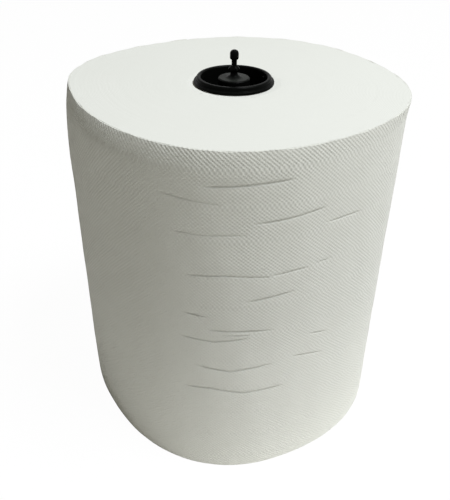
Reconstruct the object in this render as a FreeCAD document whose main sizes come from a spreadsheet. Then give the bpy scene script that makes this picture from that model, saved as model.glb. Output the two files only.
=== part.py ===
import FreeCAD, Part
import math
import os
import Sketcher

# Paper towel roll in millimetres. It stands on z = 0 with the core's axis on Z.

SIZES = {
    # the wound paper
    "roll_diameter": 190.0,
    "roll_height": 210.0,
    "out_of_round": 3.6,
    "corner_azimuth": -10.0,
    "edge_bevel": 0.8,
    # the free end of the last sheet, pressed on the back of the roll
    "tail_step": 0.4,
    "tail_lap": 30.0,
    # the spiral of turns on both end faces
    "turn_pitch": 17.0,
    "turn_start": 27.0,
    "turn_margin": 5.0,
    "turn_groove": 0.9,
    "turn_depth": 0.5,
    # the shallow creases round the side
    "crease_depth": 0.8,
    "crease_ring": 1.4,
    # the cardboard core
    "core_bore": 38.0,
    "core_wall": 2.0,
    "seat_swell": 0.25,
    # the plug's skirt inside the core
    "skirt_depth": 24.0,
    "skirt_wall": 1.5,
    "skirt_lead": 1.0,
    "crush_height": 0.25,
    "crush_width": 1.2,
    "crush_count": 6.0,
    # the plug's flange and stepped rim on the paper
    "flange_diameter": 45.3,
    "flange_thickness": 1.3,
    "rim_diameter": 42.1,
    "rim_rise": 3.6,
    "rim_bevel": 0.7,
    "rim_wall": 2.35,
    "shoulder_height": 1.6,
    # the recess floor and the webs under it
    "floor_drop": 12.0,
    "floor_thickness": 1.5,
    "web_thickness": 1.2,
    "web_height": 6.0,
    "web_count": 6.0,
    # the hub in the middle of the recess
    "hub_diameter": 18.0,
    "hub_rise": 2.8,
    "hub_wall": 1.5,
    "hub_bevel": 0.7,
    # the pin on the hub
    "pin_rise": 18.0,
    "head_diameter": 4.9,
    "head_length": 5.4,
    "head_bevel": 0.9,
    "head_under": 0.8,
    "neck_diameter": 3.0,
    "collar_diameter": 4.6,
    "collar_rise": 6.5,
    "collar_height": 2.2,
    "stem_diameter": 3.8,
    "foot_diameter": 8.0,
    "foot_height": 2.2,
    "gusset_reach": 0.9,
    "gusset_thickness": 0.9,
    "gusset_count": 6.0,
    # the key on the recess wall
    "key_width": 1.6,
    "key_depth": 1.5,
    "key_drop": 2.2,
    "key_height": 4.0,
    "key_azimuth": 20.0,
}

# Each crease: azimuth of its middle, height as a share of the roll's, half its span and its tilt, in degrees.
FRONT_CREASES = [
    (-85, 0.920, 17, 2),
    (-101, 0.881, 13, -5),
    (-72, 0.831, 15, 4),
    (-97, 0.796, 14, 0),
    (-51, 0.790, 11, -2),
    (-91, 0.681, 18, -1),
    (-64, 0.682, 13, 2),
    (-77, 0.612, 11, 6),
    (-101, 0.557, 9, -2),
    (-86, 0.514, 15, -3),
    (-94, 0.483, 15, 1),
    (-58, 0.452, 9, -12),
    (-62, 0.385, 11, -13),
    (-88, 0.383, 17, 0),
    (-88, 0.307, 20, -2),
]
BACK_CREASES = [
    (-8, 0.860, 13, -4),
    (12, 0.640, 15, 3),
    (-14, 0.360, 12, 5),
    (38, 0.780, 16, 3),
    (52, 0.300, 13, -8),
    (70, 0.560, 14, 4),
    (86, 0.880, 15, -2),
    (96, 0.400, 17, 2),
    (118, 0.680, 12, -5),
    (160, 0.810, 14, 4),
    (168, 0.330, 15, 1),
    (184, 0.540, 13, -3),
    (206, 0.710, 12, 2),
    (218, 0.440, 14, -4),
]

# The outline's arcs each turn 45 degrees, so that a joint lies 22.5 degrees from a corner's middle.
ARC_COUNT = 8
ARC_ANGLE = 45.0
ARC_GAP = "(Sizes.out_of_round / (1 / cos(22.5) - 1))"
ARC_OFFSET = f"({ARC_GAP} / 2 / cos(22.5))"
CORNER_RADIUS = f"((Sizes.roll_diameter - {ARC_GAP}) / 2)"
FLAT_RADIUS = f"((Sizes.roll_diameter + {ARC_GAP}) / 2)"

CORE_OUTSIDE = "Sizes.core_bore + 2 * Sizes.core_wall"
SEAT_DIAMETER = "Sizes.core_bore + 2 * Sizes.seat_swell"

CREASE_SIDE_COUNT = 6
RIGHT_ANGLE = 90.0

ORIGIN = FreeCAD.Vector(0, 0, 0)
UPWARD = FreeCAD.Vector(0, 0, 1)
SMALLEST = 1e-6

# How a sketch's constraints name its axes and the points of its edges.
ACROSS_AXIS = -1
UP_AXIS = -2
START, END, CENTRE = range(1, 4)

doc = FreeCAD.newDocument("paper_towel_roll")
sheet = doc.addObject("Spreadsheet::Sheet", "Sizes")
for row, (alias, number) in enumerate(SIZES.items(), start=1):
    sheet.set(f"A{row}", alias)
    sheet.set(f"B{row}", str(number))
    sheet.setAlias(f"B{row}", alias)
doc.recompute()


def value(expression):
    """The number that an expression on the sheet's cells gives."""
    return float(sheet.evalExpression(expression.replace("Sizes.", "")))


def new_body(label):
    """An empty body whose label names its file."""
    body = doc.addObject("PartDesign::Body", label)
    body.Label = label
    return body


def origin_part(body, role):
    """The body's own plane or axis of that role."""
    return next(part for part in body.Origin.OriginFeatures if part.Role == role)


def sketch_on(body, role, name, lift="0"):
    """A sketch on one of the body's own origin planes, or lifted off it."""
    sketch = body.newObject("Sketcher::SketchObject", name)
    sketch.AttachmentSupport = [(origin_part(body, role), "")]
    sketch.MapMode = "FlatFace"
    if lift != "0":
        sketch.setExpression("AttachmentOffset.Base.z", lift)
    sketch.Visibility = False
    return sketch


def bind(sketch, expression, kind, *place):
    """A dimension of the sketch that follows the sheet."""
    index = sketch.addConstraint(Sketcher.Constraint(kind, *place, value(expression)))
    sketch.setExpression(f"Constraints[{index}]", expression)


def pin_point(sketch, edge, end, across, up):
    """Ties a point of an edge to its place from the sketch's origin."""
    for place, kind, axis in ((across, "DistanceX", UP_AXIS), (up, "DistanceY", ACROSS_AXIS)):
        if place == "0":
            sketch.addConstraint(Sketcher.Constraint("PointOnObject", edge, end, axis))
        else:
            bind(sketch, place, kind, ACROSS_AXIS, START, edge, end)


def draw_corners(sketch, corners):
    """A closed run of straight edges through corners given as pairs of expressions."""
    points = [FreeCAD.Vector(value(across), value(up), 0) for across, up in corners]
    edges = [
        sketch.addGeometry(Part.LineSegment(here, there), False)
        for here, there in zip(points, points[1:] + points[:1])
    ]
    for edge, following in zip(edges, edges[1:] + edges[:1]):
        sketch.addConstraint(Sketcher.Constraint("Coincident", edge, END, following, START))
    for edge, (across, up) in zip(edges, corners):
        pin_point(sketch, edge, START, across, up)


def draw_circle(sketch, across, up, diameter):
    """A circle whose centre and diameter follow the sheet."""
    middle = FreeCAD.Vector(value(across), value(up), 0)
    circle = sketch.addGeometry(Part.Circle(middle, UPWARD, value(diameter) / 2), False)
    pin_point(sketch, circle, CENTRE, across, up)
    bind(sketch, diameter, "Diameter", circle)


def extrude(body, kind, sketch, name, length):
    """A pad or a pocket of a sketch."""
    feature = body.newObject(kind, name)
    feature.Profile = sketch
    feature.setExpression("Length", length)
    doc.recompute()
    return feature


def cut_upward(body, base, sketch, name, length):
    """A pocket from its sketch upwards, which has to take something away."""
    pocket = extrude(body, "PartDesign::Pocket", sketch, name, length)
    pocket.Reversed = True
    doc.recompute()
    if pocket.Shape.Volume > base.Shape.Volume - SMALLEST:
        raise RuntimeError(f"{name} cuts nothing")
    return pocket


def rib(body, sketch, name, thickness):
    """A pad that grows evenly to both sides of its sketch."""
    pad = extrude(body, "PartDesign::Pad", sketch, name, thickness)
    pad.Midplane = True
    doc.recompute()
    return pad


def repeat_round(body, feature, name, count):
    """Copies of a feature spaced evenly round the body's upright axis."""
    pattern = body.newObject("PartDesign::PolarPattern", name)
    pattern.Originals = [feature]
    pattern.Axis = (origin_part(body, "Z_Axis"), [""])
    pattern.Angle = 360.0
    pattern.setExpression("Occurrences", count)
    body.Tip = pattern
    doc.recompute()
    return pattern


def bevel_edges(body, base, names, name, width):
    """A chamfer on named edges of a feature."""
    chamfer = body.newObject("PartDesign::Chamfer", name)
    chamfer.Base = (base, names)
    chamfer.setExpression("Size", width)
    doc.recompute()
    return chamfer


def level_edges(shape, height):
    """Names of the edges that lie flat at one height."""
    return [
        f"Edge{number}"
        for number, edge in enumerate(shape.Edges, start=1)
        if edge.BoundBox.ZLength < SMALLEST and abs(edge.BoundBox.ZMin - height) < SMALLEST
    ]


def ring_edges(shape, radius, height):
    """Names of the round edges of one radius at one height."""
    return [
        name
        for name in level_edges(shape, height)
        if abs(shape.getElement(name).Curve.Radius - radius) < SMALLEST
    ]


# The wound paper. Packed rolls press each other out of round: four softly turned
# corners and four flatter sides, each an arc tangent to its neighbours.


def draw_pressed_round(sketch):
    """Eight tangent arcs, whose corners turn about points that lie out along both axes."""
    arcs = []
    for step in range(ARC_COUNT):
        corner = step % 2 == 0
        middle = math.radians(ARC_ANGLE * step)
        half = math.radians(ARC_ANGLE / 2)
        reach = value(ARC_OFFSET) * (1 if corner else -1)
        centre = FreeCAD.Vector(reach * math.cos(middle), reach * math.sin(middle), 0)
        circle = Part.Circle(centre, UPWARD, value(CORNER_RADIUS if corner else FLAT_RADIUS))
        arcs.append(sketch.addGeometry(Part.ArcOfCircle(circle, middle - half, middle + half), False))
    for arc, following in zip(arcs, arcs[1:] + arcs[:1]):
        sketch.addConstraint(Sketcher.Constraint("Tangent", arc, END, following, START))
    corners = arcs[0::2]
    flats = arcs[1::2]
    bind(sketch, CORNER_RADIUS, "Radius", corners[0])
    bind(sketch, FLAT_RADIUS, "Radius", flats[0])
    for group in (corners, flats):
        for arc in group[1:]:
            sketch.addConstraint(Sketcher.Constraint("Equal", group[0], arc))
    places = ((ARC_OFFSET, "0"), ("0", ARC_OFFSET), (f"-{ARC_OFFSET}", "0"), ("0", f"-{ARC_OFFSET}"))
    for arc, place in zip(corners, places):
        pin_point(sketch, arc, CENTRE, *place)


def lay_tail(body):
    """The last sheet's end: a sliver on one flat side, thickest at its cut edge."""
    sketch = sketch_on(body, "XY_Plane", "tail_sketch", "Sizes.edge_bevel")
    sketch.AttachmentOffset = FreeCAD.Placement(ORIGIN, FreeCAD.Rotation(UPWARD, ARC_ANGLE))
    proud = f"({FLAT_RADIUS} + Sizes.tail_step)"
    sunk = f"({FLAT_RADIUS} - Sizes.tail_step)"
    feathered = f"({FLAT_RADIUS} - Sizes.tail_step / 4)"
    growth = (
        f"({proud} ^ 2 - {FLAT_RADIUS} ^ 2) / 2 / ({FLAT_RADIUS} - {proud} * cos(Sizes.tail_lap))"
    )
    radius = f"{FLAT_RADIUS} + {growth}"

    def place(reach, side):
        """A point off the flat side's middle, measured from the point that its arc turns about."""
        across = f"{side}{reach} * sin(Sizes.tail_lap / 2)"
        return across, f"{reach} * cos(Sizes.tail_lap / 2) - {ARC_OFFSET}"

    corners = [place(proud, ""), place(feathered, "-"), place(sunk, "")]
    points = [FreeCAD.Vector(value(across), value(up), 0) for across, up in corners]
    chord = points[1] - points[0]
    inward = FreeCAD.Vector(-chord.y, chord.x, 0).normalize()
    centre = points[0] + chord * 0.5 + inward * math.sqrt(value(radius) ** 2 - (chord.Length / 2) ** 2)
    angles = [math.atan2(point.y - centre.y, point.x - centre.x) for point in points[:2]]
    circle = Part.Circle(centre, UPWARD, value(radius))
    arc = sketch.addGeometry(Part.ArcOfCircle(circle, *angles), False)
    under = sketch.addGeometry(Part.LineSegment(points[1], points[2]), False)
    edge = sketch.addGeometry(Part.LineSegment(points[2], points[0]), False)
    for first, following in ((arc, under), (under, edge), (edge, arc)):
        sketch.addConstraint(Sketcher.Constraint("Coincident", first, END, following, START))
    pin_point(sketch, arc, START, *corners[0])
    pin_point(sketch, arc, END, *corners[1])
    pin_point(sketch, under, END, *corners[2])
    bind(sketch, radius, "Radius", arc)
    return extrude(body, "PartDesign::Pad", sketch, "tail", "Sizes.roll_height - 2 * Sizes.edge_bevel")


def cut_turns(body, base, name, centre, side, lag):
    """One half of the end faces' spiral: half circles about one of its two centres."""
    start = value("Sizes.turn_start")
    limit = value("Sizes.roll_diameter / 2 - Sizes.out_of_round / 2 - Sizes.turn_margin")
    sketch = sketch_on(body, "XZ_Plane", name + "_sketch")
    foot = FreeCAD.Vector(value(centre), 0, 0)
    top = FreeCAD.Vector(value(centre), value("Sizes.roll_height"), 0)
    axis = sketch.addGeometry(Part.LineSegment(foot, top), True)
    pin_point(sketch, axis, START, centre, "0")
    pin_point(sketch, axis, END, centre, "Sizes.roll_height")
    for turn in range(int((limit - start) / value("Sizes.turn_pitch")) + 1):
        middle = f"{centre} {side} (Sizes.turn_start + {turn + lag} * Sizes.turn_pitch)"
        inner = f"{middle} - Sizes.turn_groove / 2"
        outer = f"{middle} + Sizes.turn_groove / 2"
        top_root = "Sizes.roll_height - Sizes.turn_depth"
        draw_corners(sketch, [(inner, "Sizes.roll_height"), (middle, top_root), (outer, "Sizes.roll_height")])
        draw_corners(sketch, [(inner, "0"), (middle, "Sizes.turn_depth"), (outer, "0")])
    groove = body.newObject("PartDesign::Groove", name)
    groove.Profile = sketch
    groove.ReferenceAxis = (sketch, ["Axis0"])
    groove.Angle = 180.0
    doc.recompute()
    if groove.Shape.Volume > base.Shape.Volume - SMALLEST:
        raise RuntimeError(f"{name} cuts nothing")
    return groove


def surface_point(azimuth):
    """The point of the roll's outline in one direction from the core's axis."""
    turned = azimuth - value("Sizes.corner_azimuth")
    step = round(turned / ARC_ANGLE)
    corner = step % 2 == 0
    aside = math.radians(turned - ARC_ANGLE * step)
    offset = value(ARC_OFFSET) * (1 if corner else -1)
    radius = value(CORNER_RADIUS if corner else FLAT_RADIUS)
    reach = offset * math.cos(aside) + math.sqrt(radius ** 2 - (offset * math.sin(aside)) ** 2)
    return outward(azimuth) * reach


def outward(azimuth):
    """The level direction of an azimuth in degrees."""
    return FreeCAD.Vector(math.cos(math.radians(azimuth)), math.sin(math.radians(azimuth)), 0)


def build_creases():
    """Arcs of thin six sided rings. Each dips below the paper in its middle and leaves it at both ends."""
    rings = []
    for number, (azimuth, share, half, tilt) in enumerate(FRONT_CREASES + BACK_CREASES, start=1):
        deepest = surface_point(azimuth) - outward(azimuth) * value("Sizes.crease_depth")
        path = Part.Circle(surface_point(azimuth - half), deepest, surface_point(azimuth + half))
        section = doc.addObject("Part::RegularPolygon", f"crease_section_{number}")
        section.Polygon = CREASE_SIDE_COUNT
        section.setExpression("Circumradius", "Sizes.crease_ring")
        reach = FreeCAD.Vector(path.Radius + value("Sizes.crease_ring"), 0, 0)
        section.Placement = FreeCAD.Placement(reach, FreeCAD.Rotation(FreeCAD.Vector(1, 0, 0), RIGHT_ANGLE))
        ring = doc.addObject("Part::Revolution", f"crease_{number}")
        ring.Source = section
        ring.Axis = UPWARD
        ring.Angle = 2 * half
        ring.Symmetric = True
        ring.Solid = True
        lift = UPWARD * value("Sizes.roll_height") * share
        swing = FreeCAD.Rotation(UPWARD, azimuth)
        tip = FreeCAD.Rotation(outward(azimuth), tilt)
        ring.Placement = FreeCAD.Placement(path.Center + lift, tip * swing)
        rings.append(ring)
    return rings


def build_paper():
    """The roll of paper: one solid with its bore, its turns, its tail and its creases."""
    body = new_body("wound_paper")
    outline = sketch_on(body, "XY_Plane", "outline")
    draw_pressed_round(outline)
    paper = extrude(body, "PartDesign::Pad", outline, "turns", "Sizes.roll_height")
    ends = level_edges(paper.Shape, 0.0) + level_edges(paper.Shape, value("Sizes.roll_height"))
    bevel_edges(body, paper, ends, "soft_edges", "Sizes.edge_bevel")
    tail = lay_tail(body)
    bore_sketch = sketch_on(body, "XY_Plane", "bore_sketch")
    draw_circle(bore_sketch, "0", "0", CORE_OUTSIDE)
    bore = cut_upward(body, tail, bore_sketch, "bore", "Sizes.roll_height")
    first = cut_turns(body, bore, "near_turns", "-Sizes.turn_pitch / 4", "+", 0.0)
    cut_turns(body, first, "far_turns", "Sizes.turn_pitch / 4", "-", 0.5)
    body.setExpression("Placement.Rotation.Angle", "Sizes.corner_azimuth")
    rings = doc.addObject("Part::Compound", "creases")
    rings.Links = build_creases()
    roll = doc.addObject("Part::Cut", "paper_roll")
    roll.Label = "paper_roll"
    roll.Base = body
    roll.Tool = rings
    doc.recompute()
    return roll


# The cardboard core: a spiral wound tube, cut flush with the paper at both ends.
# The plug's skirt has pressed its top stretch a little wider.


def build_core():
    """The cardboard tube with the plug's seat at its top."""
    body = new_body("core_tube")
    ring = sketch_on(body, "XY_Plane", "core_ring")
    draw_circle(ring, "0", "0", CORE_OUTSIDE)
    draw_circle(ring, "0", "0", "Sizes.core_bore")
    tube = extrude(body, "PartDesign::Pad", ring, "tube", "Sizes.roll_height")
    seat_sketch = sketch_on(body, "XY_Plane", "seat_sketch", "Sizes.roll_height - Sizes.skirt_depth")
    draw_circle(seat_sketch, "0", "0", SEAT_DIAMETER)
    cut_upward(body, tube, seat_sketch, "seat", "Sizes.skirt_depth")
    return body


# The end plug: one moulding of black plastic. Its own z = 0 is the foot of the
# skirt, and the flange's underside, on the paper, is at the skirt's depth.

SKIRT_RADIUS = f"({SEAT_DIAMETER}) / 2 - Sizes.crush_height"
WALL_RADIUS = f"{SKIRT_RADIUS} - Sizes.skirt_wall"
HUB_INNER_RADIUS = "Sizes.hub_diameter / 2 - Sizes.hub_wall"
FLOOR_TOP = "Sizes.skirt_depth - Sizes.floor_drop"
FLOOR_UNDER = f"{FLOOR_TOP} - Sizes.floor_thickness"
FLANGE_TOP = "Sizes.skirt_depth + Sizes.flange_thickness"
RIM_TOP = "Sizes.skirt_depth + Sizes.rim_rise"
MOUTH_RADIUS = "(Sizes.rim_diameter / 2 - Sizes.rim_wall)"
HUB_TOP = "Sizes.skirt_depth + Sizes.hub_rise"
PIN_TOP = "Sizes.skirt_depth + Sizes.pin_rise"
HEAD_FOOT = f"{PIN_TOP} - Sizes.head_length"
COLLAR_FOOT = "Sizes.skirt_depth + Sizes.collar_rise"
COLLAR_TOP = f"{COLLAR_FOOT} + Sizes.collar_height"


def turn_plug(body):
    """The moulding's section, turned about its axis."""
    section = sketch_on(body, "XZ_Plane", "section")
    pin = [
        ("0", PIN_TOP),
        ("Sizes.head_diameter / 2", PIN_TOP),
        ("Sizes.head_diameter / 2", f"{HEAD_FOOT} + Sizes.head_under"),
        ("Sizes.neck_diameter / 2", HEAD_FOOT),
        ("Sizes.neck_diameter / 2", COLLAR_TOP),
        ("Sizes.collar_diameter / 2", COLLAR_FOOT),
        ("Sizes.stem_diameter / 2", COLLAR_FOOT),
        ("Sizes.stem_diameter / 2", f"{HUB_TOP} + Sizes.foot_height"),
        ("Sizes.foot_diameter / 2", HUB_TOP),
    ]
    hub_and_recess = [
        ("Sizes.hub_diameter / 2 - Sizes.hub_bevel", HUB_TOP),
        ("Sizes.hub_diameter / 2", f"{HUB_TOP} - Sizes.hub_bevel"),
        ("Sizes.hub_diameter / 2", FLOOR_TOP),
        (WALL_RADIUS, FLOOR_TOP),
        (WALL_RADIUS, f"{FLANGE_TOP} - Sizes.shoulder_height"),
        (MOUTH_RADIUS, FLANGE_TOP),
        (MOUTH_RADIUS, RIM_TOP),
    ]
    rim_and_flange = [
        ("Sizes.rim_diameter / 2", RIM_TOP),
        ("Sizes.rim_diameter / 2", FLANGE_TOP),
        ("Sizes.flange_diameter / 2", FLANGE_TOP),
        ("Sizes.flange_diameter / 2", "Sizes.skirt_depth"),
    ]
    skirt_and_underside = [
        (SKIRT_RADIUS, "Sizes.skirt_depth"),
        (SKIRT_RADIUS, "Sizes.skirt_lead"),
        (f"{SKIRT_RADIUS} - Sizes.skirt_lead / 2", "0"),
        (WALL_RADIUS, "0"),
        (WALL_RADIUS, FLOOR_UNDER),
        (HUB_INNER_RADIUS, FLOOR_UNDER),
        (HUB_INNER_RADIUS, f"{HUB_TOP} - Sizes.hub_wall"),
        ("0", f"{HUB_TOP} - Sizes.hub_wall"),
    ]
    draw_corners(section, pin + hub_and_recess + rim_and_flange + skirt_and_underside)
    turned = body.newObject("PartDesign::Revolution", "turned_section")
    turned.Profile = section
    turned.ReferenceAxis = (origin_part(body, "Z_Axis"), [""])
    turned.Angle = 360.0
    doc.recompute()
    return turned


def bevel_plug(body, turned):
    """The eased edges of the pin's head and the rim."""
    head = ring_edges(turned.Shape, value("Sizes.head_diameter / 2"), value(PIN_TOP))
    eased = bevel_edges(body, turned, head, "head_bevel", "Sizes.head_bevel")
    rim = ring_edges(eased.Shape, value(MOUTH_RADIUS), value(RIM_TOP))
    rim += ring_edges(eased.Shape, value("Sizes.rim_diameter / 2"), value(RIM_TOP))
    bevel_edges(body, eased, rim, "rim_bevels", "Sizes.rim_bevel")


def add_webs(body):
    """Thin upright webs under the recess floor, from the hub to the skirt."""
    sketch = sketch_on(body, "XZ_Plane", "web_sketch")
    inner = f"{HUB_INNER_RADIUS} + Sizes.hub_wall / 2"
    outer = f"{WALL_RADIUS} + Sizes.skirt_wall / 2"
    foot = f"{FLOOR_UNDER} - Sizes.web_height"
    top = f"{FLOOR_UNDER} + Sizes.floor_thickness / 2"
    draw_corners(sketch, [(inner, top), (inner, foot), (outer, foot), (outer, top)])
    repeat_round(body, rib(body, sketch, "web", "Sizes.web_thickness"), "webs", "Sizes.web_count")


def add_gussets(body):
    """Small fins that flare from the pin's neck to the foot of its collar."""
    sketch = sketch_on(body, "XZ_Plane", "gusset_sketch")
    inside = "Sizes.neck_diameter / 4"
    reach = "Sizes.collar_diameter / 2 + Sizes.gusset_reach"
    shoulder = f"{COLLAR_FOOT} + Sizes.collar_height / 4"
    draw_corners(
        sketch,
        [(inside, COLLAR_TOP), (inside, COLLAR_FOOT), (reach, COLLAR_FOOT), (reach, shoulder),
         ("Sizes.neck_diameter / 2", COLLAR_TOP)],
    )
    fin = rib(body, sketch, "gusset", "Sizes.gusset_thickness")
    repeat_round(body, fin, "gussets", "Sizes.gusset_count")


def add_crush_ridges(body):
    """Upright ridges on the skirt that bite into the cardboard and hold the plug."""
    sketch = sketch_on(body, "XY_Plane", "ridge_sketch", "Sizes.skirt_lead")
    inner = f"{SKIRT_RADIUS} - Sizes.crush_height"
    crest = (f"({SEAT_DIAMETER}) / 2", "0")
    draw_corners(sketch, [(inner, "-Sizes.crush_width / 2"), crest, (inner, "Sizes.crush_width / 2")])
    ridge = extrude(body, "PartDesign::Pad", sketch, "ridge", "Sizes.skirt_depth - Sizes.skirt_lead")
    repeat_round(body, ridge, "ridges", "Sizes.crush_count")


def add_key(body):
    """The upright key on the recess wall."""
    sketch = sketch_on(body, "XZ_Plane", "key_sketch")
    sketch.AttachmentOffset = FreeCAD.Placement(ORIGIN, FreeCAD.Rotation(FreeCAD.Vector(0, 1, 0), 1))
    sketch.setExpression("AttachmentOffset.Rotation.Angle", "Sizes.key_azimuth")
    in_rim = f"{MOUTH_RADIUS} + Sizes.rim_wall / 2"
    in_skirt = f"{WALL_RADIUS} + Sizes.skirt_wall / 2"
    inner = f"{MOUTH_RADIUS} - Sizes.key_depth"
    top = f"{RIM_TOP} - Sizes.key_drop"
    foot = f"{top} - Sizes.key_height"
    draw_corners(
        sketch,
        [(in_rim, top), (inner, top), (inner, foot), (in_skirt, foot),
         (in_skirt, "Sizes.skirt_depth"), (in_rim, "Sizes.skirt_depth")],
    )
    rib(body, sketch, "key", "Sizes.key_width")


def build_plug():
    """The end plug, with its skirt's foot at the bottom of the core's seat."""
    body = new_body("end_plug")
    bevel_plug(body, turn_plug(body))
    add_webs(body)
    add_gussets(body)
    add_crush_ridges(body)
    add_key(body)
    body.setExpression("Placement.Base.z", "Sizes.roll_height - Sizes.skirt_depth")
    doc.recompute()
    return body


def write_parts(parts):
    """Writes each sub-part's file once the whole document is sound."""
    doc.recompute()
    for thing in doc.Objects:
        if "Invalid" in thing.State or "Error" in thing.State:
            raise RuntimeError(f"{thing.Label} failed: {thing.State}")
    for part in parts:
        if part.Shape.isNull() or not part.Shape.isValid() or len(part.Shape.Solids) != 1:
            raise RuntimeError(f"{part.Label} is not one sound solid")
    os.makedirs("parts", exist_ok=True)
    for part in parts:
        part.Shape.exportStep(f"parts/{part.Label}.step")


write_parts([build_paper(), build_core(), build_plug()])
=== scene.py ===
import bpy
import math
import numpy as np
from mathutils import Matrix, Vector


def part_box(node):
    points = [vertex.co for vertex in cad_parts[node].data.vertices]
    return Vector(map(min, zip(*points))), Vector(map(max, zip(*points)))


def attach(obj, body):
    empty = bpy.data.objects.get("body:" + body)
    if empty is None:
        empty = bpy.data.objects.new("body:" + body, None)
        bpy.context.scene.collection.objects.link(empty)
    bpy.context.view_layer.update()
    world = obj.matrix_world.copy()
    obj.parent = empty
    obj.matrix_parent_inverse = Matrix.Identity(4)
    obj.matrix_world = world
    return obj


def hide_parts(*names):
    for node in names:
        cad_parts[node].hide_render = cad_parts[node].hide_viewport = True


# Paper towel roll, in metres. It stands on z = 0 with the core's axis on Z.

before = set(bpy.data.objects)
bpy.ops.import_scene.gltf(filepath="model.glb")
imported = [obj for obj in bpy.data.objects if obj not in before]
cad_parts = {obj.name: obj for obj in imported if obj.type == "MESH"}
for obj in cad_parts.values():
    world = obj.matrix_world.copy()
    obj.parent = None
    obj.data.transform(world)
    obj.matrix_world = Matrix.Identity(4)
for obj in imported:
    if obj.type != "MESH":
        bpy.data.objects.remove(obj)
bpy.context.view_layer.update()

# The last turn of the sheet: soft two-ply tissue, pressed between rollers all over
# into a quincunx of small raised and sunk dots. It is wound on last, its tail lies
# loose on the turn beneath, and handling creased it and knocked its rim and foot.

# Rolls packed tightly press each other out of round, into four soft corners and
# four flatter sides, a little pinched on one side.
ROLL_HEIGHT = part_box("paper_roll")[1].z
ROLL_RADIUS = 0.095
OUT_OF_ROUND = 0.0036
CORNER_AZIMUTH = math.radians(-10)
PINCH = (-0.00073, 0.00043)
OFF_CENTRE = (0.0006, 0.0018)
# Places closer than this are the same.
NEAR = 1e-5

# Each knock: its middle azimuth and its spread in degrees, then the height where it starts,
# the height where it is greatest, and how far in or out it goes there, in millimetres.
KNOCKS = [
    (191, 21, 170, 210, -3.2),
    (-8, 25, 200, 210, 1.3),
    (50, 20, 150, 210, 1.6),
    (-134, 40, 150, 199, 1.0),
    (-134, 40, 199, 210, -3.1),
    (-38, 20, 25, 0, 1.3),
    (205, 20, 25, 0, -1.0),
]
KNOCK_CURVE = 1.5

SHEET_COLUMNS = 514
SHEET_ROWS = 191
SHEET_WALL = 0.00035
# The wall that closes the sheet inside lies deeper than its dots and creases reach.
SHEET_BACK = 0.0011
DOT_HEIGHT = 0.0001
# The dots end at the rim, and the rim stands a little back and a little low.
RIM_EASE = 0.00015
RIM_SUNK = 0.0001
# The dots grow crisper from the first of these depths beneath the top to the second.
CRISP_BAND = (0.014, 0.004)
# The rollers press harder and softer in patches of about this size.
PRESS_PATCH = 0.018
# The real fibres are too fine to show, so these are coarser.
FIBRE_LENGTH = 0.0004
FIBRE_RELIEF = 0.00008

# The tail's edge, how far round its turn shows through, how far its loose end stands off,
# over what share of the lap, and the gap beneath it. The face of its edge is drawn
# between two places in one column of dots.
TAIL_EDGE = math.radians(110)
TAIL_LAP = math.radians(30)
TAIL_STEP = 0.0005
TAIL_LIFT = 0.0012
TAIL_LOOSE = 0.3
TAIL_GAP = 0.0007
TAIL_FACE = (0.44, 0.48)

# A crease in the grid is this wide and reaches this far to each side. The grid carries most of
# its depth and the finish its sharp fold, with painted shade along the fold. It fades out over some degrees
# at both its ends.
CREASE_WIDTH = 0.0012
CREASE_REACH = 0.0021
CREASE_IN_GRID = 0.6
CREASE_FADE = 4
CREASE_PAST_END = 6
PAST_END_DISTANCE = 0.003
CREASE_SEEN = 0.005
# The fold's depth falls off with the square of the millimetres from its line.
FOLD_SHARPNESS = 3.2
FOLD_DEPTH = 0.0013

# Each crease: its depth in millimetres, then points of azimuth in degrees and height in millimetres.
CREASES = [
    (0.50, [(-99, 192.6), (-90, 193.2), (-82, 194.0), (-72, 194.9)]),
    (0.25, [(-112, 187.0), (-102, 185.2), (-92, 183.3)]),
    (0.42, [(-84, 172.9), (-74, 173.8), (-60, 176.2)]),
    (0.30, [(-60, 166.7), (-52, 166.4), (-44, 165.6)]),
    (0.28, [(-109, 167.2), (-98, 166.8), (-85, 167.1)]),
    (0.42, [(-105, 142.4), (-92, 143.9), (-77, 141.4)]),
    (0.32, [(-78, 142.0), (-70, 142.9), (-64, 143.1)]),
    (0.26, [(-63, 143.6), (-55, 143.8)]),
    (0.44, [(-86, 127.0), (-78, 128.6), (-69, 130.3)]),
    (0.52, [(-106, 118.1), (-101, 117.7), (-96, 116.8)]),
    (0.44, [(-98, 108.6), (-88, 107.8), (-75, 106.7)]),
    (0.44, [(-107, 101.9), (-95, 100.5), (-83, 103.0)]),
    (0.46, [(-102, 82.6), (-90, 79.5), (-75, 82.2)]),
    (0.44, [(-106, 65.0), (-96, 66.1), (-85, 62.8), (-70, 63.6)]),
    (0.28, [(-69, 84.2), (-60, 80.6), (-54, 77.9)]),
    (0.26, [(-63, 97.0), (-58, 94.8), (-53, 92.8)]),
    (0.40, [(-20, 181.0), (-8, 180.2), (4, 178.6)]),
    (0.36, [(-2, 134.0), (12, 134.8), (25, 136.4)]),
    (0.38, [(-24, 74.0), (-13, 75.8), (-3, 78.0)]),
    (0.40, [(24, 162.4), (38, 164.0), (52, 165.0)]),
    (0.36, [(40, 65.6), (52, 63.0), (64, 60.2)]),
    (0.36, [(57, 116.2), (70, 117.6), (83, 119.4)]),
    (0.40, [(72, 185.4), (86, 184.6), (100, 184.0)]),
    (0.34, [(80, 83.0), (92, 84.0), (104, 84.8)]),
    (0.36, [(150, 168.4), (162, 170.2), (172, 171.6)]),
    (0.36, [(155, 69.0), (168, 69.4), (181, 69.8)]),
    (0.34, [(158, 117.2), (170, 116.4), (182, 115.0)]),
    (0.30, [(136, 148.4), (146, 149.0), (156, 149.8)]),
]


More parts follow.
